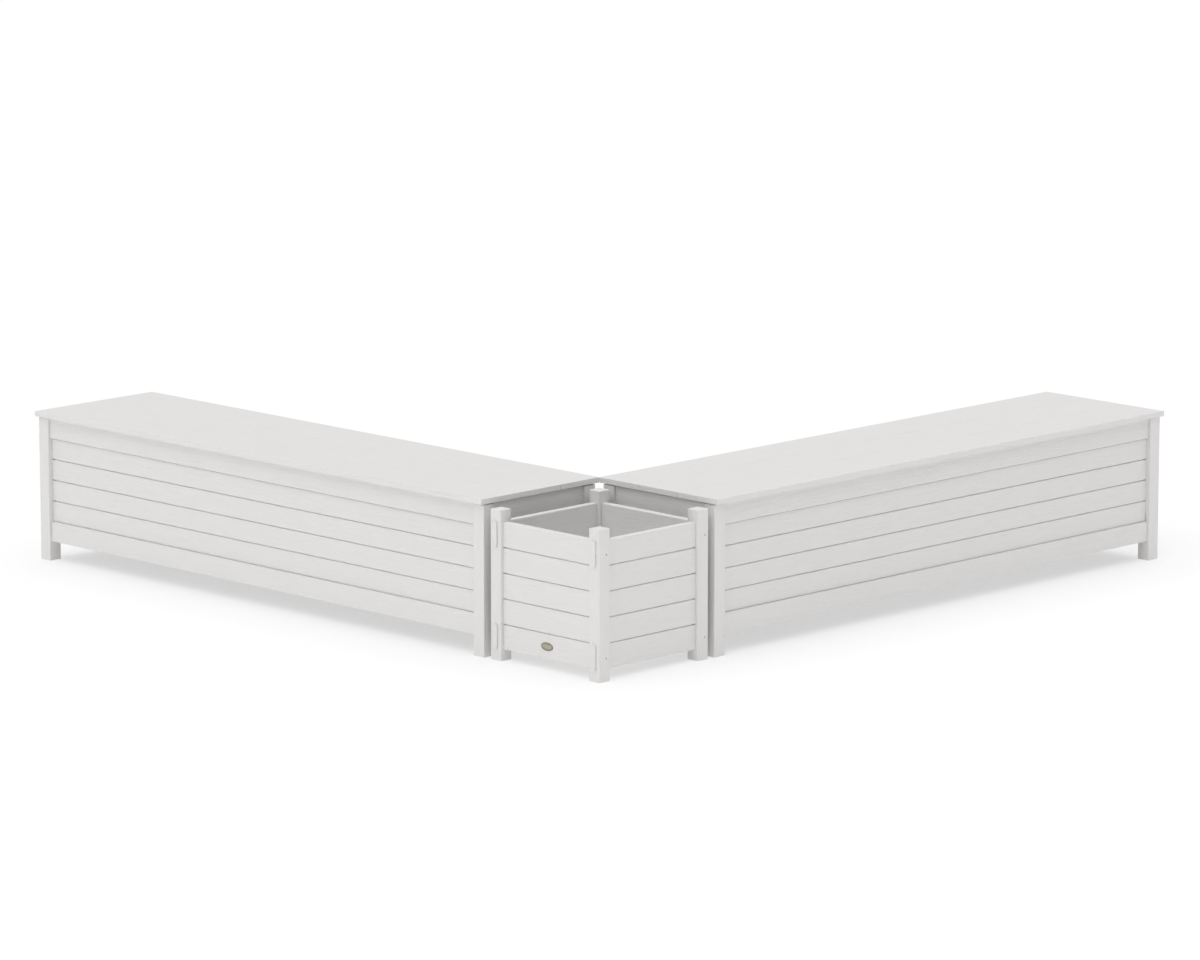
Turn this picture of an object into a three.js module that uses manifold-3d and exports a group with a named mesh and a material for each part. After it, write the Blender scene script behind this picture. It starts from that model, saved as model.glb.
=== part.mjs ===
// A corner seating set in plastic lumber: two long box benches laid out as an L, and a square open
// planter that stands by itself in the outer corner, between the two bench ends.
// Lengths are millimetres. +Z is up, the floor is z = 0, and the set is centred over x = y = 0.
// The right bench runs along +X, the left bench along +Y, and the planter stands at -X, -Y.

import * as THREE from 'three';
import { mergeVertices } from 'three/addons/utils/BufferGeometryUtils.js';
import Module from 'manifold-3d';

// Layout of the set
const CORNER_GAP = 0.3;
const CORNER_LAP = 1;
const PLANTER_GAP = 23.5;

// Bench, overall
const BENCH_LENGTH = 2002;
const BENCH_DEPTH = 482;
const SEAT_HEIGHT = 470;

// Bench, seat boards
const SEAT_BOARDS = 3;
const SEAT_THICKNESS = 19;
const SEAT_SEAM = 2;
const SEAT_OVERHANG_SIDE = 13;
const SEAT_OVERHANG_END = 4;

// Bench, posts and rails
const BENCH_POST = 44;
const LEG_CLEARANCE = 60;
const RAIL_HEIGHT = 63.5;
const RAIL_THICKNESS = 22;
const RAIL_RECESS = 8;
const RAIL_TENON_THICKNESS = 12;
const RAIL_TENON_SHOULDER = 6;

// Bench, infill boards and the upright battens behind them
const INFILL_BOARDS = 4;
const INFILL_THICKNESS = 16;
const INFILL_GAP = 2.3;
const INFILL_HEADROOM = 1.5;
const BATTEN_WIDTH = 38;
const BATTEN_THICKNESS = 16;
const BATTEN_LAP = 22;
const BATTEN_INSET = 12;
const SIDE_BATTEN_PLACE_SHARES = [-1 / 3, 1 / 3];

// Bench, cross bearers under the seat
const BEARER_WIDTH = 38;
const BEARER_HEIGHT = 38;
const HOUSING_DEPTH = 8;

// Planter, overall
const PLANTER_SIDE = 444.5;
const PLANTER_RIM_HEIGHT = 409.2;
const PLANTER_CLEARANCE = 33.7;
const PLANTER_POST = 42;
const PLANTER_POST_RISE = 36;

// Planter, boards
const PLANTER_BOARDS = 5;
const PLANTER_BOARD_THICKNESS = 22;
const PLANTER_BOARD_GAP = 2.3;
const CLEAT_WIDTH = 20;
const CLEAT_SETBACK = 1;
const CLEAT_MARGIN = 6;

// Planter, tenons of the top and bottom rails
const TENON_THICKNESS = 15;
const TENON_SHOULDER = 1;
const TENON_PROUD = 4;
const TENON_CORNER = 5;
const TENON_END_EASE = 1;
const STUB_SHOULDER = 8;

// Planter, slatted floor
const FLOOR_SLATS = 5;
const FLOOR_SLAT_THICKNESS = 16;
const FLOOR_SLAT_GAP = 12;
const FLOOR_BEARER_WIDTH = 22;
const FLOOR_BEARER_HEIGHT = 34;
const FLOOR_RAISE = 4;

// Fits, joints and eased edges
const FIT = 0.3;
const OVERRUN = 2;
const BITE = 1;
const MORTISE_WALL = 3;
const MORTISE_CORNER = 4;
const BOARD_EASE = 2.5;
const SEAT_EASE = 1.6;
const POST_EASE = 1.8;
const END_EASE_SHARE = 0.8;
const ARC_STEPS = 1;
const TENON_ARC_STEPS = 2;
const END_EASE_STEPS = 1;

// Finish of the white lumber
const LUMBER_COLOUR = 0xe4e3e1;
const LUMBER_ROUGHNESS = 0.55;

// Heights of the bench's parts
const seatUnderside = SEAT_HEIGHT - SEAT_THICKNESS;
const frameTop = seatUnderside - FIT;
const topRailMiddle = frameTop - RAIL_HEIGHT / 2;
const bottomRailMiddle = LEG_CLEARANCE + RAIL_HEIGHT / 2;
const infillLow = LEG_CLEARANCE + RAIL_HEIGHT + FIT;
const infillHigh = frameTop - RAIL_HEIGHT - FIT - INFILL_HEADROOM;
const infillBoardHeight = shared(infillHigh - infillLow, INFILL_BOARDS, INFILL_GAP);

// Lengths and places of the bench's parts
const seatBoardWidth = shared(BENCH_DEPTH, SEAT_BOARDS, SEAT_SEAM);
const frameLength = BENCH_LENGTH - 2 * SEAT_OVERHANG_END;
const frameDepth = BENCH_DEPTH - 2 * SEAT_OVERHANG_SIDE;
const sideOpening = frameLength - 2 * BENCH_POST;
const endOpening = frameDepth - 2 * BENCH_POST;
const railInset = RAIL_RECESS + RAIL_THICKNESS / 2;
const railBack = RAIL_RECESS + RAIL_THICKNESS;
const railTenonLength = BENCH_POST - railInset - RAIL_TENON_THICKNESS / 2 - MORTISE_WALL;
const railTenonHeight = RAIL_HEIGHT - 2 * RAIL_TENON_SHOULDER;
const bearerPlaces = SIDE_BATTEN_PLACE_SHARES.map((share) => (share * sideOpening) / 2);

// Heights, lengths and places of the planter's parts
const planterPostHeight = PLANTER_RIM_HEIGHT + PLANTER_POST_RISE;
const boxHeight = PLANTER_RIM_HEIGHT - PLANTER_CLEARANCE;
const planterBoardHeight = shared(boxHeight, PLANTER_BOARDS, PLANTER_BOARD_GAP);
const planterLevels = stacked(PLANTER_CLEARANCE, PLANTER_BOARDS, planterBoardHeight, PLANTER_BOARD_GAP);
const planterOpening = PLANTER_SIDE - 2 * PLANTER_POST;
const postCentre = (PLANTER_SIDE - PLANTER_POST) / 2;
const wallInside = postCentre - PLANTER_BOARD_THICKNESS / 2;
const tenonHeight = planterBoardHeight - 2 * TENON_SHOULDER;
const stubHeight = planterBoardHeight - 2 * STUB_SHOULDER;
const stubLength = (PLANTER_POST - TENON_THICKNESS) / 2 - MORTISE_WALL;

// Quarter turns, and the frame that lays an upright extrusion along X
const QUARTER = Math.PI / 2;
const ALONG_X = new THREE.Matrix4().makeBasis(
  new THREE.Vector3(0, 1, 0),
  new THREE.Vector3(0, 0, 1),
  new THREE.Vector3(1, 0, 0),
);

const wasm = await Module();
wasm.setup();

// Width of each of several equal boards that fill a span with gaps between them.
function shared(span, count, gap) {
  return (span - (count - 1) * gap) / count;
}

// Middles of several equal boards that start at a place and have gaps between them.
function stacked(start, count, width, gap) {
  return Array.from({ length: count }, (_, i) => start + width / 2 + i * (width + gap));
}

function solidOf(geometry) {
  const bare = geometry.clone();
  bare.deleteAttribute('normal');
  bare.deleteAttribute('uv');
  const welded = mergeVertices(bare);
  return new wasm.Manifold(new wasm.Mesh({
    numProp: 3,
    vertProperties: Float32Array.from(welded.attributes.position.array),
    triVerts: Uint32Array.from(welded.index.array),
  }));
}

function geometryOf(solid) {
  const { vertProperties, triVerts } = solid.getMesh();
  const indexed = new THREE.BufferGeometry();
  indexed.setAttribute('position', new THREE.BufferAttribute(vertProperties, 3));
  indexed.setIndex(new THREE.BufferAttribute(triVerts, 1));
  const geometry = indexed.toNonIndexed();
  geometry.computeVertexNormals();
  return geometry;
}

// Joins several geometries, then cuts others out of them.
function shaped(joined, cutters = []) {
  const whole = joined.map(solidOf).reduce((sum, solid) => sum.add(solid));
  return geometryOf(cutters.map(solidOf).reduce((rest, cutter) => rest.subtract(cutter), whole));
}

function roundedRectangle(width, height, radius) {
  const x = width / 2 - radius;
  const y = height / 2 - radius;
  const outline = new THREE.Shape();
  outline.absarc(x, y, radius, 0, QUARTER);
  outline.absarc(-x, y, radius, QUARTER, 2 * QUARTER);
  outline.absarc(-x, -y, radius, 2 * QUARTER, 3 * QUARTER);
  outline.absarc(x, -y, radius, 3 * QUARTER, 4 * QUARTER);
  outline.closePath();
  return outline;
}

// An upright bar with rounded edges, centred on zero, whose ends are eased as well where asked.
function upright(width, depth, height, radius, endEase = 0, arcSteps = ARC_STEPS) {
  const geometry = new THREE.ExtrudeGeometry(roundedRectangle(width, depth, radius), {
    depth: height - 2 * endEase,
    curveSegments: arcSteps,
    bevelEnabled: endEase > 0,
    bevelThickness: endEase,
    bevelSize: endEase,
    bevelOffset: -endEase,
    bevelSegments: END_EASE_STEPS,
  });
  return geometry.translate(0, 0, endEase - height / 2);
}

// The same bar laid along X, with its thickness along Y and its height along Z.
function bar(length, thickness, height, radius, endEase = 0, arcSteps = ARC_STEPS) {
  return upright(thickness, height, length, radius, endEase, arcSteps).applyMatrix4(ALONG_X);
}

// A board along X that is eased along its top and bottom edges only, so its corners stay square.
function squareEndedBoard(length, width, thickness, radius) {
  const alongSides = bar(length, width, thickness, radius);
  const alongEnds = bar(width, length, thickness, radius).rotateZ(QUARTER);
  return geometryOf(solidOf(alongSides).intersect(solidOf(alongEnds)));
}

// A slot with rounded corners, entered at x = 0, that takes a tenon of this section.
function mortise(depth, thickness, height, corner, arcSteps = ARC_STEPS) {
  const slot = bar(depth + OVERRUN, thickness + 2 * FIT, height + 2 * FIT, corner + FIT, 0, arcSteps);
  return slot.translate((depth - OVERRUN) / 2, 0, 0);
}

function lumber() {
  return new THREE.MeshStandardMaterial({
    color: LUMBER_COLOUR,
    roughness: LUMBER_ROUGHNESS,
    metalness: 0,
  });
}

function addPiece(group, name, geometry, x, y, z, turn = 0) {
  const piece = new THREE.Mesh(geometry, lumber());
  piece.name = name;
  piece.position.set(x, y, z);
  piece.rotation.z = turn;
  group.add(piece);
}

// Name of a row of boards, counted from the -Y side to the +Y side.
function rowName(row, count, sides) {
  if (row === 0) {
    return sides[1];
  }
  const middle = count > sides.length + 1 ? `middle_${row}` : 'middle';
  return row === count - 1 ? sides[0] : middle;
}

// Bench post at the +X, +Y corner. It has a blind mortise for each of the four rails that meet it.
function benchPostGeometry() {
  const offset = BENCH_POST / 2 - railInset;
  const slots = [bottomRailMiddle, topRailMiddle].flatMap((height) => {
    const z = height - frameTop / 2;
    const slot = () => mortise(railTenonLength, RAIL_TENON_THICKNESS, railTenonHeight, MORTISE_CORNER);
    return [
      slot().translate(-BENCH_POST / 2, offset, z),
      slot().rotateZ(QUARTER).translate(offset, -BENCH_POST / 2, z),
    ];
  });
  const body = upright(BENCH_POST, BENCH_POST, frameTop, POST_EASE, POST_EASE * END_EASE_SHARE);
  return shaped([body], slots);
}

// Rail that runs between two posts along X with a blind tenon at each end.
function benchRailGeometry(opening) {
  const length = opening - 2 * FIT;
  return shaped([
    bar(length, RAIL_THICKNESS, RAIL_HEIGHT, BOARD_EASE),
    bar(length + 2 * railTenonLength, RAIL_TENON_THICKNESS, railTenonHeight, MORTISE_CORNER),
  ]);
}

// Long top rail, housed on its inner side, towards -Y, for the cross bearers.
function housedRailGeometry() {
  const width = BEARER_WIDTH + 2 * FIT;
  const depth = HOUSING_DEPTH + OVERRUN;
  const height = BEARER_HEIGHT + FIT + OVERRUN;
  const y = -RAIL_THICKNESS / 2 + HOUSING_DEPTH - depth / 2;
  const z = RAIL_HEIGHT / 2 + OVERRUN - height / 2;
  const housings = bearerPlaces.map((x) => new THREE.BoxGeometry(width, depth, height).translate(x, y, z));
  return shaped([benchRailGeometry(sideOpening)], housings);
}

// Infill boards one above the other, on upright battens that lap the rails above and below.
// Outward is +Y, y = 0 is the outer face of the posts and z = 0 is the floor.
function benchInfillGeometry(opening, innerPlaces) {
  const length = opening - 2 * FIT;
  const boardY = -(railBack + FIT + BITE) + INFILL_THICKNESS / 2;
  const boards = stacked(infillLow, INFILL_BOARDS, infillBoardHeight, INFILL_GAP).map((z) =>
    bar(length, INFILL_THICKNESS, infillBoardHeight, BOARD_EASE).translate(0, boardY, z));
  const outerPlace = length / 2 - BATTEN_INSET - BATTEN_WIDTH / 2;
  const battenY = -(railBack + FIT + BATTEN_THICKNESS / 2);
  const battenLow = infillLow - BATTEN_LAP;
  const battenHigh = infillHigh + INFILL_HEADROOM + BATTEN_LAP;
  const battens = [-outerPlace, ...innerPlaces, outerPlace].map((x) =>
    new THREE.BoxGeometry(BATTEN_WIDTH, BATTEN_THICKNESS, battenHigh - battenLow)
      .translate(x, battenY, (battenLow + battenHigh) / 2));
  return shaped([...boards, ...battens]);
}

// Cross bearer under the seat, along X, that drops into a housing of each long top rail.
function bearerGeometry() {
  const clear = frameDepth - 2 * railBack;
  return bar(clear + 2 * (HOUSING_DEPTH - FIT), BEARER_WIDTH, BEARER_HEIGHT, BOARD_EASE);
}

// One bench, centred over its own origin with its length along X.
// sides names the faces towards +Y and -Y, and the ends are near, towards -X, and far.
function bench(prefix, sides) {
  const group = new THREE.Group();
  const seatBoard = squareEndedBoard(BENCH_LENGTH, seatBoardWidth, SEAT_THICKNESS, SEAT_EASE);
  const seatRows = stacked(-BENCH_DEPTH / 2, SEAT_BOARDS, seatBoardWidth, SEAT_SEAM);
  seatRows.forEach((y, row) => {
    const name = `${prefix}_seat_board_${rowName(row, SEAT_BOARDS, sides)}`;
    addPiece(group, name, seatBoard, 0, y, SEAT_HEIGHT - SEAT_THICKNESS / 2);
  });

  const post = benchPostGeometry();
  const postX = (frameLength - BENCH_POST) / 2;
  const postY = (frameDepth - BENCH_POST) / 2;
  const corners = [
    ['far', sides[0], postX, postY, 0],
    ['near', sides[0], -postX, postY, QUARTER],
    ['near', sides[1], -postX, -postY, 2 * QUARTER],
    ['far', sides[1], postX, -postY, 3 * QUARTER],
  ];
  for (const [end, side, x, y, turn] of corners) {
    addPiece(group, `${prefix}_post_${end}_${side}`, post, x, y, frameTop / 2, turn);
  }

  const bearer = bearerGeometry();
  bearerPlaces.forEach((x, i) => {
    addPiece(group, `${prefix}_seat_bearer_${i + 1}`, bearer, x, 0, frameTop - BEARER_HEIGHT / 2, QUARTER);
  });

  const housedRail = housedRailGeometry();
  const longRail = benchRailGeometry(sideOpening);
  const longInfill = benchInfillGeometry(sideOpening, bearerPlaces);
  sides.forEach((side, i) => {
    const sign = i === 0 ? 1 : -1;
    const turn = i * 2 * QUARTER;
    const railY = sign * (frameDepth / 2 - railInset);
    addPiece(group, `${prefix}_top_rail_${side}`, housedRail, 0, railY, topRailMiddle, turn);
    addPiece(group, `${prefix}_bottom_rail_${side}`, longRail, 0, railY, bottomRailMiddle, turn);
    addPiece(group, `${prefix}_infill_${side}`, longInfill, 0, (sign * frameDepth) / 2, 0, turn);
  });

  const endRail = benchRailGeometry(endOpening);
  const endInfill = benchInfillGeometry(endOpening, []);
  ['far', 'near'].forEach((end, i) => {
    const sign = i === 0 ? 1 : -1;
    const turn = -sign * QUARTER;
    const railX = sign * (frameLength / 2 - railInset);
    addPiece(group, `${prefix}_end_top_rail_${end}`, endRail, railX, 0, topRailMiddle, turn);
    addPiece(group, `${prefix}_end_bottom_rail_${end}`, endRail, railX, 0, bottomRailMiddle, turn);
    addPiece(group, `${prefix}_end_infill_${end}`, endInfill, (sign * frameLength) / 2, 0, 0, turn);
  });
  return group;
}

// Planter post on the +Y side. The rails along X pass right through it, and those along Y stop
// inside it, behind a wall that keeps the two joints apart.
function planterPostGeometry() {
  const railLevels = [planterLevels[0], planterLevels[PLANTER_BOARDS - 1]];
  const slots = railLevels.flatMap((height) => {
    const z = height - planterPostHeight / 2;
    const depth = PLANTER_POST + OVERRUN;
    const through = mortise(depth, TENON_THICKNESS, tenonHeight, TENON_CORNER, TENON_ARC_STEPS);
    const stub = mortise(stubLength, TENON_THICKNESS, stubHeight, TENON_CORNER);
    return [
      through.translate(-PLANTER_POST / 2, 0, z),
      stub.rotateZ(QUARTER).translate(0, -PLANTER_POST / 2, z),
    ];
  });
  const endEase = POST_EASE * END_EASE_SHARE;
  return shaped([upright(PLANTER_POST, PLANTER_POST, planterPostHeight, POST_EASE, endEase)], slots);
}

// Planter rail along X whose tenons reach this overall length.
function planterRailGeometry(overallLength, height, endEase, arcSteps) {
  return shaped([
    bar(planterOpening - 2 * FIT, PLANTER_BOARD_THICKNESS, planterBoardHeight, BOARD_EASE),
    bar(overallLength, TENON_THICKNESS, height, TENON_CORNER, endEase, arcSteps),
  ]);
}

// The boards between the two rails of a planter side, on a cleat in each corner.
// Outward is +Y, y = 0 is the middle of the wall and z = 0 is the floor.
function planterInfillGeometry() {
  const length = planterOpening - 2 * FIT;
  const levels = planterLevels.slice(1, -1);
  const boards = levels.map((z) =>
    bar(length, PLANTER_BOARD_THICKNESS, planterBoardHeight, BOARD_EASE).translate(0, 0, z));
  const depth = (PLANTER_POST - PLANTER_BOARD_THICKNESS) / 2 + BITE;
  const place = length / 2 - CLEAT_SETBACK - CLEAT_WIDTH / 2;
  const low = levels[0] - planterBoardHeight / 2 + CLEAT_MARGIN;
  const high = levels.at(-1) + planterBoardHeight / 2 - CLEAT_MARGIN;
  const cleats = [-place, place].map((x) =>
    new THREE.BoxGeometry(CLEAT_WIDTH, depth, high - low)
      .translate(x, (depth - PLANTER_POST) / 2, (low + high) / 2));
  return shaped([...boards, ...cleats]);
}

// Slatted floor: slats along X with drainage gaps, on three bearers along Y.
function planterFloorGeometry() {
  const span = planterOpening - 2 * FIT;
  const slatWidth = shared(span, FLOOR_SLATS, FLOOR_SLAT_GAP);
  const slatLength = 2 * (wallInside - FIT);
  const slatZ = FLOOR_BEARER_HEIGHT - BITE + FLOOR_SLAT_THICKNESS / 2;
  const slats = stacked(-span / 2, FLOOR_SLATS, slatWidth, FLOOR_SLAT_GAP).map((y) =>
    bar(slatLength, slatWidth, FLOOR_SLAT_THICKNESS, BOARD_EASE).translate(0, y, slatZ));
  const bearerX = wallInside - FIT - BITE - FLOOR_BEARER_WIDTH / 2;
  const bearers = [-bearerX, 0, bearerX].map((x) =>
    bar(span - 2 * BITE, FLOOR_BEARER_WIDTH, FLOOR_BEARER_HEIGHT, BOARD_EASE)
      .rotateZ(QUARTER)
      .translate(x, 0, FLOOR_BEARER_HEIGHT / 2));
  return shaped([...slats, ...bearers]);
}

// The planter, centred over its own origin.
function planter() {
  const group = new THREE.Group();
  const post = planterPostGeometry();
  const corners = [
    ['back', postCentre, postCentre, 0],
    ['left', -postCentre, postCentre, 0],
    ['front', -postCentre, -postCentre, 2 * QUARTER],
    ['right', postCentre, -postCentre, 2 * QUARTER],
  ];
  for (const [name, x, y, turn] of corners) {
    addPiece(group, `planter_post_${name}`, post, x, y, planterPostHeight / 2, turn);
  }

  const throughLength = PLANTER_SIDE + 2 * TENON_PROUD;
  const throughRail = planterRailGeometry(throughLength, tenonHeight, TENON_END_EASE, TENON_ARC_STEPS);
  const stubLengthOverall = planterOpening - 2 * FIT + 2 * stubLength;
  const stubRail = planterRailGeometry(stubLengthOverall, stubHeight, 0, ARC_STEPS);
  const infill = planterInfillGeometry();
  const walls = [
    ['back_left', 0, postCentre, 0, throughRail],
    ['front_right', 0, -postCentre, 2 * QUARTER, throughRail],
    ['back_right', postCentre, 0, -QUARTER, stubRail],
    ['front_left', -postCentre, 0, QUARTER, stubRail],
  ];
  for (const [name, x, y, turn, rail] of walls) {
    addPiece(group, `planter_bottom_rail_${name}`, rail, x, y, planterLevels[0], turn);
    addPiece(group, `planter_top_rail_${name}`, rail, x, y, planterLevels.at(-1), turn);
    addPiece(group, `planter_infill_${name}`, infill, x, y, 0, turn);
  }
  addPiece(group, 'planter_floor', planterFloorGeometry(), 0, 0, PLANTER_CLEARANCE + FLOOR_RAISE);
  return group;
}

// The L: both benches start at the inner corner, where the right one's end laps the left one's end
// a little, and the planter stands diagonally across from it.
const set = new THREE.Group();

const rightBench = bench('right_bench', ['inner', 'outer']);
rightBench.position.set(BENCH_LENGTH / 2 - CORNER_LAP, -BENCH_DEPTH / 2, 0);

const leftBench = bench('left_bench', ['outer', 'inner']);
leftBench.position.set(-BENCH_DEPTH / 2, CORNER_GAP + BENCH_LENGTH / 2, 0);
leftBench.rotation.z = QUARTER;

const planterBox = planter();
const planterPlace = CORNER_GAP - PLANTER_GAP - PLANTER_SIDE / 2;
planterBox.position.set(planterPlace, planterPlace, 0);

set.add(rightBench, leftBench, planterBox);
const middle = new THREE.Box3().setFromObject(set).getCenter(new THREE.Vector3());
set.position.set(-middle.x, -middle.y, 0);

export default set;
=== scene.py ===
"""Looks of a corner seating set in white plastic lumber: two long box benches and a square planter.

Lengths are metres, +Z is up and the floor is z = 0. Colours are linear.
"""

import math

import bmesh
import bpy
from mathutils import Matrix, Vector


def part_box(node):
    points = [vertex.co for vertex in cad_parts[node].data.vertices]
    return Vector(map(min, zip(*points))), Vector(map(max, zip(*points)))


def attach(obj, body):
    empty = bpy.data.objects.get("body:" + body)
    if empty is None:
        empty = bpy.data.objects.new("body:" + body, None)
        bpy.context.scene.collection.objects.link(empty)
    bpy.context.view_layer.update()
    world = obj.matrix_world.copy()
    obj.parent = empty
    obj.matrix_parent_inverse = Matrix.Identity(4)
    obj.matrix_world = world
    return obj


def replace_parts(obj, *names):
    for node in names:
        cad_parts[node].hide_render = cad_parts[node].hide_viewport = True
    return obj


MM = 0.001
UP = Vector((0, 0, 1))
WHITE = (1.0, 1.0, 1.0)

# Names that the frame and its record use
BODY = "root"
BENCHES = ("right_bench", "left_bench")

# Camera, solved from the photograph's straight edges
CAMERA_PLACE = (-13.40323, -13.40984, 3.95039)
CAMERA_YAW = math.radians(45.008)
CAMERA_PITCH = math.radians(11.039)
CAMERA_ROLL = math.radians(-0.007)
CAMERA_LENS = 185.98
CAMERA_SENSOR = 36.0
CAMERA_CLIP = (0.5, 200.0)

# Light: an even sky, one wide lamp overhead, one lower lamp on the side of the left bench, and a floor that
# glows, giving the object a light of its own from below besides what it reflects
SKY_LEVEL = 0.3
SKY_SEEN_LEVEL = 1.0
SKY_TINT = (1.0, 0.995, 1.02)
LAMPS = {
    "overhead": {"level": 2.05, "spread": math.radians(104), "azimuth": math.radians(0),
                 "elevation": math.radians(88)},
    "side": {"level": 0.55, "spread": math.radians(60), "azimuth": math.radians(183),
             "elevation": math.radians(42)},
}
FLOOR_HALF = 40.0
FLOOR_COLOUR = 0.85
# Glow of the floor, which is no lamp, lighting the object from below
FLOOR_GLOW = 0.265
FLOOR_SEEN_COLOUR = 0.44
FLOOR_SEEN_GLOW = 0.54

# Roughness of a noise texture where no material sets its own
NOISE_ROUGHNESS = 0.5

# White lumber: colour, roughness, and the embossed grain's sizes
LUMBER_COLOUR = (0.768, 0.759, 0.746)
LUMBER_GROOVE_COLOUR = (0.752, 0.742, 0.728)
LUMBER_ROUGHNESS = (0.46, 0.62)
GRAIN_LENGTH = 90 * MM
GRAIN_WIDTH = 5 * MM
GRAIN_DEPTH = 1.2 * MM
GRAIN_DETAIL = 4.0
GRAIN_ROUGHNESS = 0.6
GRAIN_GROOVE_LIMITS = (0.36, 0.52)
GRAIN_WAVE_LENGTH = 160 * MM
GRAIN_WAVE_WIDTH = 40 * MM
GRAIN_WAVE_DETAIL = 1.0
GRAIN_WAVE = 1.2
FINE_GRAIN_SCALE = 3.5
FINE_GRAIN_DETAIL = 3.0
FINE_GRAIN_ROUGHNESS = 0.7
FINE_GRAIN_LIMITS = (0.3, 0.7)
FINE_GRAIN_SHARE = 0.35

# Eased edges that the construction leaves as one flat
EDGE_ROUND = 0.9 * MM
EDGE_SEGMENTS = 2
EDGE_ANGLE = math.radians(25)
FLAT_ANGLE = math.radians(1)

# Eased edges of the boards made here
EASE_SEGMENTS = 3
EASE_PROFILE = 0.5

# Seat boards, which bearers carry a little above the frame
SEAT_ROWS = ("outer", "middle", "inner")
SEAT_BEARERS = (1, 2)
SEAT_THICKNESS = 16.3 * MM
SEAT_SEAM = 0.8 * MM
SEAT_EASE = 1.0 * MM
BEARER_FIT = 0.3 * MM
BEARER_EASE = 2.5 * MM

# Boards of the walls, and the laps that close the gaps between them and stop short of the ends
BOARD_GAP = 2.3 * MM
BOARD_EASE = 2.5 * MM
PLANTER_BOARD_THICKNESS = 22 * MM
PLANTER_INFILL_BOARDS = 3
BENCH_BOARD_THICKNESS = 16 * MM
BENCH_INFILL_BOARDS = 4
BENCH_INFILL_FIT = 0.3 * MM
BENCH_INFILL_HEADROOM = 1.5 * MM
LAP_DEPTH = 4.5 * MM
LAP_SETBACK = 9 * MM
LAP_FIT = 0.05 * MM

# Planter's floor, whose slats lie close, as little light falls through it
FLOOR_SLATS = 5
FLOOR_SLAT_GAP = 4 * MM
FLOOR_SLAT_THICKNESS = 16 * MM
FLOOR_BEARERS = 3
FLOOR_BEARER_WIDTH = 22 * MM

# Planter's sides whose rails pass through the posts: side, posts at its -X and +X ends, and its way along Y
THROUGH_SIDES = (("front_right", ("front", "right"), -1), ("back_left", ("left", "back"), 1))
RAIL_LEVELS = ("top", "bottom")

# Proud ends of the planter's through tenons
TENON_THICKNESS = 16 * MM
TENON_PROUD = 5.5 * MM
TENON_SINK = 1 * MM
TENON_EASE = 0.5 * MM
TENON_EASE_SHARE = 0.3
TENON_OVERLAP = 1.5 * MM
TENON_CORNER = 6 * MM
TENON_CORNER_STEPS = 6

# Screws through the planter's posts into the tenons: their dome's rings are shares of its radius and rise
SCREW_RADIUS = 6 * MM
SCREW_RISE = 1.6 * MM
SCREW_DOME_SHARES = ((1.0, 0.0), (0.97, 0.35), (0.86, 0.7), (0.68, 0.92), (0.55, 1.0))
SCREW_SINK = 1.0 * MM
SCREW_DRIVE = 1.8 * MM
SCREW_DRIVE_FLOOR = 0.15 * MM
SCREW_PLACE_SHARE = 0.64
SCREW_DROP = 2.5 * MM
SCREW_SIDES = 32
SCREW_PALE = (0.74, 0.73, 0.71)
SCREW_PALER = (0.84, 0.83, 0.81)
SCREW_ROUGHNESS = 0.35
# Near-black painted shade in the square drive hole of each screw
DRIVE_SHADE_DEEP = (0.1, 0.1, 0.095)
DRIVE_SHADE_SOFT = (0.2, 0.198, 0.19)
COAT_SCALE = 1800.0
COAT_DETAIL = 2.0
COAT_DEPTH = 0.05 * MM
COAT_STRENGTH = 0.6

# Oval plate on the planter's bottom rail: its rim's rings are shares of the rim's width and of the thickness
PLATE_HALF_LENGTH = 24.5 * MM
PLATE_HALF_HEIGHT = 12.5 * MM
PLATE_THICKNESS = 1.4 * MM
PLATE_SINK = 0.3 * MM
PLATE_RIM = 2.6 * MM
PLATE_RIM_SHARES = ((0.0, 0.6), (0.25, 0.92), (0.5, 1.0), (0.75, 0.92))
PLATE_FIELD_DEPTH = 0.5 * MM
PLATE_FIELD_SHARE = 2.2
PLATE_STEPS = 72
PLATE_METALLIC = 0.3
PLATE_ROUGHNESS = (0.35, 0.6)
PATCH_SCALE = 160.0
PATCH_DETAIL = 3.0
PATCH_LIMITS = (0.35, 0.65)
BRUSH_SCALE = (2500.0, 60.0, 2500.0)
BRUSH_DETAIL = 2.0
RIM_DARK = (0.24, 0.215, 0.135)
RIM_LIGHT = (0.34, 0.315, 0.21)
FIELD_DARK = (0.36, 0.345, 0.28)
FIELD_LIGHT = (0.46, 0.45, 0.385)


def add_node(tree, kind, inputs=(), **settings):
    """A new node, whose inputs are values or the outputs of other nodes."""
    node = tree.nodes.new(kind)
    for key, value in settings.items():
        setattr(node, key, value)
    for name, value in dict(inputs).items():
        socket = node.inputs[name]
        if isinstance(value, bpy.types.NodeSocket):
            tree.links.new(value, socket)
        else:
            socket.default_value = value
    return node


def rgba(colour):
    return (*colour, 1.0)


def mapped(tree, place, scale):
    return add_node(tree, "ShaderNodeMapping", {"Vector": place, "Scale": scale}).outputs["Vector"]


def noise(tree, place, detail, scale=1.0, roughness=NOISE_ROUGHNESS):
    """A noise texture's outputs. Its scale stays 1 where the place is mapped already."""
    inputs = {"Vector": place, "Scale": scale, "Detail": detail, "Roughness": roughness}
    return add_node(tree, "ShaderNodeTexNoise", inputs).outputs


def ranged(tree, value, source, target):
    """The value, moved from the source range to the target range."""
    inputs = {"Value": value, "From Min": source[0], "From Max": source[1],
              "To Min": target[0], "To Max": target[1]}
    return add_node(tree, "ShaderNodeMapRange", inputs).outputs["Result"]


def mixed(tree, share, first, second):
    """The first colour where the share is 0, and the second where it is 1."""
    node = add_node(tree, "ShaderNodeMix", {"Factor": share, "A": rgba(first), "B": rgba(second)},
                    data_type="RGBA")
    return next(output for output in node.outputs if output.type == "RGBA")


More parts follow.
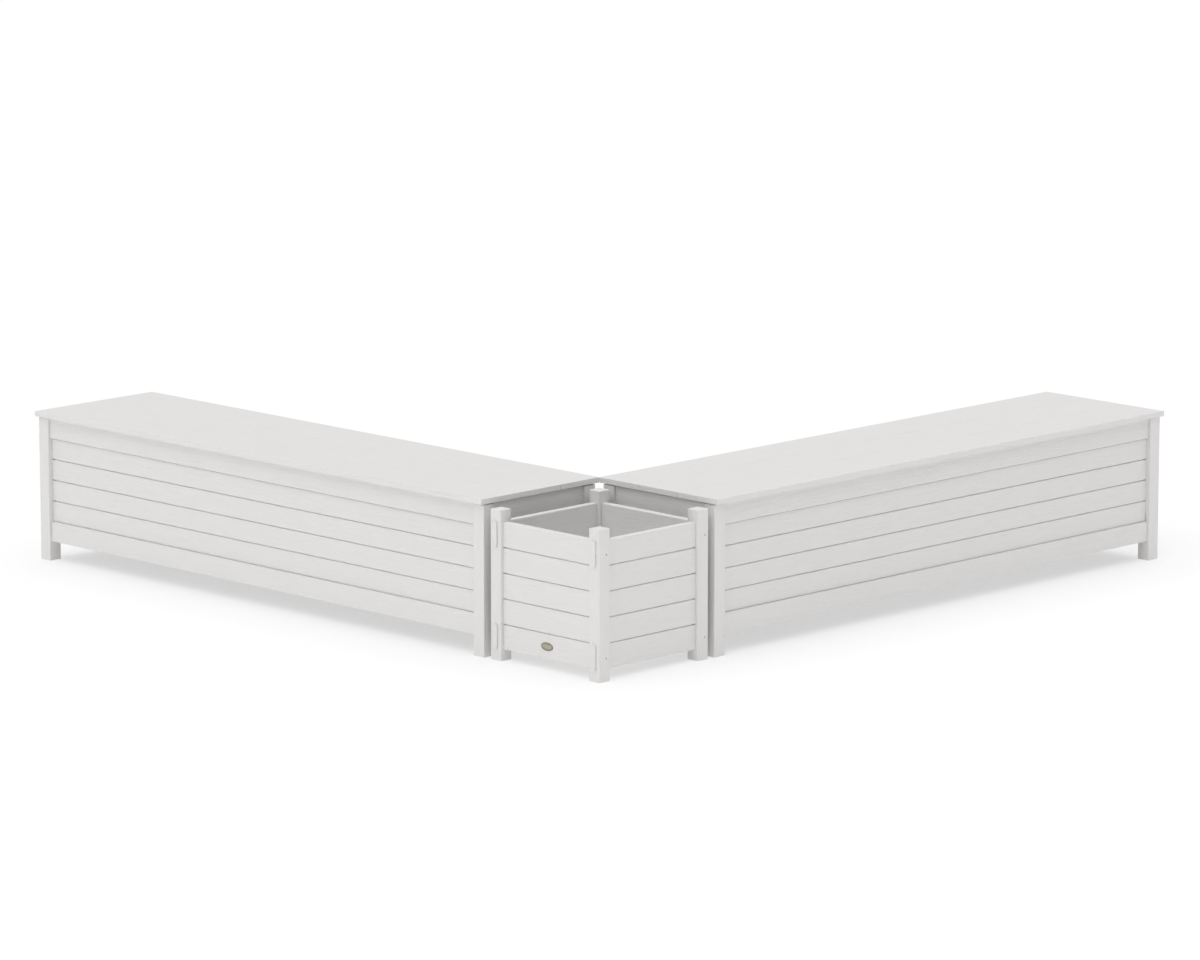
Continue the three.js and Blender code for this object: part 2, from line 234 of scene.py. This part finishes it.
def new_material(name):
    material = bpy.data.materials.new(name)
    material.use_nodes = True
    tree = material.node_tree
    tree.nodes.clear()
    shader = tree.nodes.new("ShaderNodeBsdfPrincipled")
    output = tree.nodes.new("ShaderNodeOutputMaterial")
    tree.links.new(shader.outputs["BSDF"], output.inputs["Surface"])
    place = add_node(tree, "ShaderNodeTexCoord").outputs["Object"]
    return material, tree, shader, place


def emboss(tree, shader, height, depth, strength):
    bump = add_node(tree, "ShaderNodeBump", {"Height": height, "Distance": depth, "Strength": strength})
    tree.links.new(bump.outputs["Normal"], shader.inputs["Normal"])


def stretched(axis, along, across):
    """Scale of a pattern that is long along one axis and narrow across the others."""
    return tuple(1 / along if i == axis else 1 / across for i in range(3))


def lumber_material(name, axis):
    """White plastic lumber, embossed with a fine wavy grain that runs along one axis."""
    material, tree, shader, place = new_material(name)

    wave_place = mapped(tree, place, stretched(axis, GRAIN_WAVE_LENGTH, GRAIN_WAVE_WIDTH))
    wave = noise(tree, wave_place, GRAIN_WAVE_DETAIL)["Color"]
    shift = add_node(tree, "ShaderNodeVectorMath", {0: wave, "Scale": GRAIN_WAVE}, operation="SCALE")
    grain_place = mapped(tree, place, stretched(axis, GRAIN_LENGTH, GRAIN_WIDTH))
    bent = add_node(tree, "ShaderNodeVectorMath", {0: grain_place, 1: shift.outputs["Vector"]},
                    operation="ADD").outputs["Vector"]

    streaks = noise(tree, bent, GRAIN_DETAIL, roughness=GRAIN_ROUGHNESS)["Fac"]
    fine = noise(tree, bent, FINE_GRAIN_DETAIL, FINE_GRAIN_SCALE, FINE_GRAIN_ROUGHNESS)["Fac"]
    height = add_node(tree, "ShaderNodeMath", {0: fine, 1: FINE_GRAIN_SHARE, 2: streaks},
                      operation="MULTIPLY_ADD")

    crest = ranged(tree, streaks, GRAIN_GROOVE_LIMITS, (0, 1))
    tree.links.new(mixed(tree, crest, LUMBER_GROOVE_COLOUR, LUMBER_COLOUR), shader.inputs["Base Color"])
    tree.links.new(ranged(tree, fine, FINE_GRAIN_LIMITS, LUMBER_ROUGHNESS), shader.inputs["Roughness"])
    emboss(tree, shader, height.outputs["Value"], GRAIN_DEPTH, 1)
    return material


def plate_material(name, dark, light):
    """Aged bronze, a little darker in patches and finely brushed."""
    material, tree, shader, place = new_material(name)
    patches = noise(tree, place, PATCH_DETAIL, PATCH_SCALE)["Fac"]
    share = ranged(tree, patches, PATCH_LIMITS, (0, 1))
    tree.links.new(mixed(tree, share, dark, light), shader.inputs["Base Color"])
    shader.inputs["Metallic"].default_value = PLATE_METALLIC
    brush = noise(tree, mapped(tree, place, BRUSH_SCALE), BRUSH_DETAIL)["Fac"]
    tree.links.new(ranged(tree, brush, (0, 1), PLATE_ROUGHNESS), shader.inputs["Roughness"])
    return material


def screw_material(name, dark, light):
    """Paint on metal, with the faint unevenness of a powder coat. With near-black colours it is painted
    shade in the screws' drive holes.
    """
    material, tree, shader, place = new_material(name)
    coat = noise(tree, place, COAT_DETAIL, COAT_SCALE)["Fac"]
    tree.links.new(mixed(tree, coat, dark, light), shader.inputs["Base Color"])
    shader.inputs["Roughness"].default_value = SCREW_ROUGHNESS
    emboss(tree, shader, coat, COAT_DEPTH, COAT_STRENGTH)
    return material


def longest_axis(node):
    low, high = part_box(node)
    size = high - low
    return max(range(3), key=lambda i: size[i])


def round_edges(obj):
    """Joins the flat facets and rounds the flats that ease the edges."""
    flat = obj.modifiers.new("flat", "DECIMATE")
    flat.decimate_type = "DISSOLVE"
    flat.angle_limit = FLAT_ANGLE
    edge = obj.modifiers.new("edge", "BEVEL")
    edge.width = EDGE_ROUND
    edge.segments = EDGE_SEGMENTS
    edge.limit_method = "ANGLE"
    edge.angle_limit = EDGE_ANGLE
    edge.use_clamp_overlap = True
    edge.harden_normals = True
    for polygon in obj.data.polygons:
        polygon.use_smooth = True


def dress_lumber(nodes, lumber):
    for name, obj in nodes.items():
        obj.data.materials.clear()
        obj.data.materials.append(lumber[longest_axis(name)])
        round_edges(obj)


def new_piece(name, mesh_maker, materials):
    mesh = bpy.data.meshes.new(name)
    made = bmesh.new()
    mesh_maker(made)
    bmesh.ops.recalc_face_normals(made, faces=made.faces)
    made.to_mesh(mesh)
    made.free()
    for material in materials:
        mesh.materials.append(material)
    obj = bpy.data.objects.new(name, mesh)
    bpy.context.scene.collection.objects.link(obj)
    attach(obj, BODY)
    return obj


def ring(made, points):
    return [made.verts.new(p) for p in points]


def bridge(made, lower, upper):
    count = len(lower)
    return [made.faces.new((lower[i], lower[(i + 1) % count], upper[(i + 1) % count], upper[i]))
            for i in range(count)]


def smooth_sides(made, loops):
    """Smooth faces from loop to loop, listed band by band."""
    bands = [bridge(made, lower, upper) for lower, upper in zip(loops, loops[1:])]
    for band in bands:
        for face in band:
            face.smooth = True
    return bands


def boards_maker(boxes, ease):
    """Boards with eased edges."""
    def make(made):
        for low, high in boxes:
            place = Matrix.LocRotScale((low + high) / 2, None, high - low)
            corners = bmesh.ops.create_cube(made, size=1.0, matrix=place)["verts"]
            edges = list({edge for corner in corners for edge in corner.link_edges})
            bmesh.ops.bevel(made, geom=edges, offset=ease, segments=EASE_SEGMENTS, profile=EASE_PROFILE,
                            affect="EDGES")
    return make


def add_seats(lumber):
    """Seat boards close side by side, a little above the frame, on bearers that rise up to them."""
    for bench in BENCHES:
        names = [f"{bench}_seat_board_{row}" for row in SEAT_ROWS]
        axis = longest_axis(names[0])
        across = 1 - axis
        boards = sorted(((name, *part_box(name)) for name in names), key=lambda board: board[1][across])
        for (_, _, high), (_, low, _) in zip(boards, boards[1:]):
            seam = (high[across] + low[across]) / 2
            high[across] = seam - SEAT_SEAM / 2
            low[across] = seam + SEAT_SEAM / 2
        for name, low, high in boards:
            low.z = high.z - SEAT_THICKNESS
            maker = boards_maker([(low, high)], SEAT_EASE)
            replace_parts(new_piece(f"lifted_{name}", maker, [lumber[axis]]), name)
        underside = boards[0][1].z
        for bearer in SEAT_BEARERS:
            name = f"{bench}_seat_bearer_{bearer}"
            low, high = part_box(name)
            high.z = underside - BEARER_FIT
            maker = boards_maker([(low, high)], BEARER_EASE)
            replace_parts(new_piece(f"raised_{name}", maker, [lumber[across]]), name)


def add_planter_floor(lumber):
    """Slats along X, close side by side, on bearers along Y."""
    low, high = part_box("planter_floor")
    pitch = (high.y - low.y + FLOOR_SLAT_GAP) / FLOOR_SLATS
    under = high.z - FLOOR_SLAT_THICKNESS
    boxes = []
    for i in range(FLOOR_SLATS):
        y = low.y + i * pitch
        boxes.append((Vector((low.x, y, under)), Vector((high.x, y + pitch - FLOOR_SLAT_GAP, high.z))))
    step = (high.x - low.x - FLOOR_BEARER_WIDTH) / (FLOOR_BEARERS - 1)
    for i in range(FLOOR_BEARERS):
        x = low.x + i * step
        boxes.append((Vector((x, low.y, low.z)), Vector((x + FLOOR_BEARER_WIDTH, high.y, under))))
    maker = boards_maker(boxes, BEARER_EASE)
    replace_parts(new_piece("close_planter_floor", maker, [lumber[0]]), "planter_floor")


def laps_maker(ends, outward, levels, thickness):
    """Strips in the gaps between boards, set back from the outer face and flush with the inner one."""
    half = BOARD_GAP / 2 - LAP_FIT
    back = thickness - LAP_FIT
    profile = [(LAP_DEPTH, -half), (back - BOARD_EASE, -half), (back, -half - BOARD_EASE),
               (back, half + BOARD_EASE), (back - BOARD_EASE, half), (LAP_DEPTH, half)]

    def make(made):
        for level in levels:
            loops = [ring(made, [end - outward * depth + UP * (level + rise) for depth, rise in profile])
                     for end in ends]
            bridge(made, *loops)
            for loop in loops:
                made.faces.new(loop)
    return make


def gap_levels(infill):
    """Heights of the gaps between a wall's boards. The planter's rails are boards of its wall too."""
    top_of_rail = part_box(infill.replace("infill", "bottom_rail"))[1].z
    foot_of_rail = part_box(infill.replace("infill", "top_rail"))[0].z
    if infill.startswith("planter"):
        gaps = PLANTER_INFILL_BOARDS + 1
        board = (foot_of_rail - top_of_rail - gaps * BOARD_GAP) / PLANTER_INFILL_BOARDS
        first = top_of_rail
    else:
        gaps = BENCH_INFILL_BOARDS - 1
        foot = top_of_rail + BENCH_INFILL_FIT
        head = foot_of_rail - BENCH_INFILL_FIT - BENCH_INFILL_HEADROOM
        board = (head - foot - gaps * BOARD_GAP) / BENCH_INFILL_BOARDS
        first = foot + board
    return [first + BOARD_GAP / 2 + i * (board + BOARD_GAP) for i in range(gaps)]


def way_out(infill, across, nodes):
    """1 or -1, the way that a wall faces along an axis, from the middle of its own posts."""
    owner = infill.split("_infill")[0].removesuffix("_end")
    posts = [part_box(post) for post in nodes if post.startswith(f"{owner}_post")]
    middle = sum(corner[across] for box in posts for corner in box) / (2 * len(posts))
    low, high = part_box(infill)
    return 1 if low[across] + high[across] > 2 * middle else -1


def add_laps(nodes, lumber):
    """The laps of each wall's boards, as one piece."""
    for name in [name for name in nodes if "infill" in name]:
        low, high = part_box(name)
        axis = 0 if high.x - low.x > high.y - low.y else 1
        across = 1 - axis
        way = way_out(name, across, nodes)
        outward = Vector((0, 0, 0))
        outward[across] = way
        ends = []
        for place in (low[axis] + LAP_SETBACK, high[axis] - LAP_SETBACK):
            end = Vector((0, 0, 0))
            end[axis] = place
            end[across] = high[across] if way > 0 else low[across]
            ends.append(end)
        thickness = PLANTER_BOARD_THICKNESS if name.startswith("planter") else BENCH_BOARD_THICKNESS
        maker = laps_maker(ends, outward, gap_levels(name), thickness)
        new_piece(name.replace("infill", "laps"), maker, [lumber[axis]])


def screw_maker(centre, outward, across):
    """A low domed head with a square hole for its driver."""
    turns = [2 * math.pi * i / SCREW_SIDES for i in range(SCREW_SIDES)]
    round_outline = [(math.cos(turn), math.sin(turn)) for turn in turns]
    square_outline = [(u / max(abs(u), abs(v)), v / max(abs(u), abs(v))) for u, v in round_outline]

    def outline(shape, reach, rise):
        return [centre + (across * u + UP * v) * reach + outward * rise for u, v in shape]

    def make(made):
        dome = [outline(round_outline, SCREW_RADIUS * reach, SCREW_RISE * rise)
                for reach, rise in SCREW_DOME_SHARES]
        hole = [outline(square_outline, SCREW_DRIVE, rise) for rise in (SCREW_RISE, SCREW_DRIVE_FLOOR)]
        base = outline(round_outline, SCREW_RADIUS, -SCREW_SINK)
        loops = [ring(made, points) for points in [base, *dome, *hole]]
        # The hole's walls and floor take the second material, a near-black painted shade
        for face in smooth_sides(made, loops)[-1]:
            face.material_index = 1
        made.faces.new(loops[0])
        made.faces.new(loops[-1]).material_index = 1
    return make


def add_screws(head, drive_shade):
    """One screw at each end of each through tenon, on the outer face of the post that holds it."""
    for side, posts, facing in THROUGH_SIDES:
        for level in RAIL_LEVELS:
            low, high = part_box(f"planter_{level}_rail_{side}")
            height = (low.z + high.z) / 2 - SCREW_DROP
            for post in posts:
                corner, far_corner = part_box(f"planter_post_{post}")
                x = corner.x + (far_corner.x - corner.x) * SCREW_PLACE_SHARE
                y = far_corner.y if facing > 0 else corner.y
                maker = screw_maker(Vector((x, y, height)), Vector((0, facing, 0)), Vector((1, 0, 0)))
                new_piece(f"screw_{level}_{post}", maker, [head, drive_shade])


def tenon_maker(centre, outward, half_width, half_height):
    """The proud end of a through tenon, with rounded corners and an eased front."""
    across = Vector((0, 1, 0))
    part_ease = TENON_EASE_SHARE * TENON_EASE
    profile = [(0.0, -TENON_SINK), (0.0, TENON_PROUD - TENON_EASE), (part_ease, TENON_PROUD - part_ease),
               (TENON_EASE, TENON_PROUD)]

    def outline(inset, rise):
        radius = TENON_CORNER - inset
        points = []
        for corner, (u, v) in enumerate(((1, 1), (-1, 1), (-1, -1), (1, -1))):
            for step in range(TENON_CORNER_STEPS + 1):
                turn = math.pi / 2 * (corner + step / TENON_CORNER_STEPS)
                points.append(centre + outward * rise
                              + across * (u * (half_width - TENON_CORNER) + radius * math.cos(turn))
                              + UP * (v * (half_height - TENON_CORNER) + radius * math.sin(turn)))
        return points

    def make(made):
        loops = [ring(made, outline(inset, rise)) for inset, rise in profile]
        smooth_sides(made, loops)
        made.faces.new(loops[0])
        made.faces.new(loops[-1])
    return make


def add_tenon_ends(lumber):
    """Ends of the through tenons, as they stand proud of the posts on the -X and +X sides."""
    for side, posts, _ in THROUGH_SIDES:
        for level in RAIL_LEVELS:
            low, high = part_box(f"planter_{level}_rail_{side}")
            half_height = (high.z - low.z) / 2 + TENON_OVERLAP
            for post, facing in zip(posts, (-1, 1)):
                corner, far_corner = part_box(f"planter_post_{post}")
                x = far_corner.x if facing > 0 else corner.x
                centre = Vector((x, (low.y + high.y) / 2, (low.z + high.z) / 2))
                maker = tenon_maker(centre, Vector((facing, 0, 0)), TENON_THICKNESS / 2, half_height)
                new_piece(f"tenon_end_{level}_{post}", maker, [lumber[0]])


def plate_maker(centre):
    """An oval plate that faces -X, with a rounded rim round a slightly sunk field."""
    out, across = Vector((-1, 0, 0)), Vector((0, 1, 0))
    turns = [2 * math.pi * i / PLATE_STEPS for i in range(PLATE_STEPS)]
    field = PLATE_THICKNESS - PLATE_FIELD_DEPTH
    profile = [(0.0, -PLATE_SINK)]
    profile += [(PLATE_RIM * inset, PLATE_THICKNESS * rise) for inset, rise in PLATE_RIM_SHARES]
    profile += [(PLATE_RIM, field), (PLATE_RIM * PLATE_FIELD_SHARE, field)]

    def outline(inset, rise):
        a, b = PLATE_HALF_LENGTH - inset, PLATE_HALF_HEIGHT - inset
        return [centre + across * (a * math.cos(turn)) + UP * (b * math.sin(turn)) + out * rise
                for turn in turns]

    def make(made):
        loops = [ring(made, outline(inset, rise)) for inset, rise in profile]
        smooth_sides(made, loops)
        made.faces.new(loops[0])
        made.faces.new(loops[-1]).material_index = 1
    return make


def add_plate(rim, field):
    low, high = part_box("planter_bottom_rail_front_left")
    centre = Vector((low.x, (low.y + high.y) / 2, (low.z + high.z) / 2))
    new_piece("oval_plate", plate_maker(centre), [rim, field])


def add_floor():
    """A white floor that glows as well as reflects, so it lights the object with a light of its own. The
    camera sees its shadows faint, and white where nothing shades it.
    """
    mesh = bpy.data.meshes.new("floor")
    made = bmesh.new()
    bmesh.ops.create_grid(made, x_segments=1, y_segments=1, size=FLOOR_HALF)
    made.to_mesh(mesh)
    made.free()
    floor = bpy.data.objects.new("floor", mesh)
    bpy.context.scene.collection.objects.link(floor)
    material = bpy.data.materials.new("floor")
    material.use_nodes = True
    tree = material.node_tree
    tree.nodes.clear()
    shades = []
    for colour, glow in ((FLOOR_COLOUR, FLOOR_GLOW), (FLOOR_SEEN_COLOUR, FLOOR_SEEN_GLOW)):
        diffuse = add_node(tree, "ShaderNodeBsdfDiffuse", {"Color": rgba((colour,) * 3)})
        # The floor's own glow: for other rays it lights the object, though the floor is no lamp
        light = add_node(tree, "ShaderNodeEmission", {"Strength": glow})
        shades.append(add_node(tree, "ShaderNodeAddShader",
                               {0: diffuse.outputs["BSDF"], 1: light.outputs["Emission"]}).outputs["Shader"])
    seen = add_node(tree, "ShaderNodeLightPath").outputs["Is Camera Ray"]
    both = add_node(tree, "ShaderNodeMixShader", {0: seen, 1: shades[0], 2: shades[1]})
    output = tree.nodes.new("ShaderNodeOutputMaterial")
    tree.links.new(both.outputs["Shader"], output.inputs["Surface"])
    mesh.materials.append(material)


def add_sky():
    """An even pale sky, which the camera sees as plain white."""
    world = bpy.data.worlds.new("studio")
    bpy.context.scene.world = world
    world.use_nodes = True
    tree = world.node_tree
    tree.nodes.clear()
    seen = add_node(tree, "ShaderNodeLightPath").outputs["Is Camera Ray"]
    level = ranged(tree, seen, (0, 1), (SKY_LEVEL, SKY_SEEN_LEVEL))
    colour = mixed(tree, seen, SKY_TINT, WHITE)
    sky = add_node(tree, "ShaderNodeBackground", {"Color": colour, "Strength": level})
    output = tree.nodes.new("ShaderNodeOutputWorld")
    tree.links.new(sky.outputs["Background"], output.inputs["Surface"])


def add_lamps():
    """Wide soft lamps, far away."""
    for name, place in LAMPS.items():
        lamp = bpy.data.lights.new(name, "SUN")
        lamp.energy = place["level"]
        lamp.angle = place["spread"]
        obj = bpy.data.objects.new(name, lamp)
        bpy.context.scene.collection.objects.link(obj)
        flat = math.cos(place["elevation"])
        towards = Vector((math.cos(place["azimuth"]) * flat, math.sin(place["azimuth"]) * flat,
                          math.sin(place["elevation"])))
        obj.rotation_euler = towards.to_track_quat("Z", "Y").to_euler()


def add_camera():
    lens = bpy.data.cameras.new("camera")
    lens.lens = CAMERA_LENS
    lens.sensor_width = CAMERA_SENSOR
    lens.clip_start, lens.clip_end = CAMERA_CLIP
    camera = bpy.data.objects.new("camera", lens)
    bpy.context.scene.collection.objects.link(camera)
    turn = (Matrix.Rotation(CAMERA_YAW - math.pi / 2, 4, "Z")
            @ Matrix.Rotation(math.pi / 2 - CAMERA_PITCH, 4, "X")
            @ Matrix.Rotation(CAMERA_ROLL, 4, "Z"))
    camera.matrix_world = Matrix.Translation(CAMERA_PLACE) @ turn
    bpy.context.scene.camera = camera


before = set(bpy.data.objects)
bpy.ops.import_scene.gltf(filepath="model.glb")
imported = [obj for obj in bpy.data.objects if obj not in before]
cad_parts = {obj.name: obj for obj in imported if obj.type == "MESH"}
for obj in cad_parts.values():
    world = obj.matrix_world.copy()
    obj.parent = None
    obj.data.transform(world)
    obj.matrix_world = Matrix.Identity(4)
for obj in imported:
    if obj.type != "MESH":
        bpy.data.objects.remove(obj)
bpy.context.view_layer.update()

bpy.context.scene.view_settings.view_transform = "Standard"
add_camera()
add_sky()
add_lamps()
add_floor()
lumber_by_axis = [lumber_material(f"white_lumber_{name}", axis) for axis, name in enumerate("xyz")]
dress_lumber(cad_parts, lumber_by_axis)
add_seats(lumber_by_axis)
add_planter_floor(lumber_by_axis)
add_laps(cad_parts, lumber_by_axis)
add_tenon_ends(lumber_by_axis)
# Screw heads in pale paint; their drive holes in near-black painted shade
add_screws(screw_material("white_screw", SCREW_PALE, SCREW_PALER),
           screw_material("screw_drive_painted_shade", DRIVE_SHADE_DEEP, DRIVE_SHADE_SOFT))
add_plate(plate_material("bronze_rim", RIM_DARK, RIM_LIGHT),
          plate_material("bronze_field", FIELD_DARK, FIELD_LIGHT))
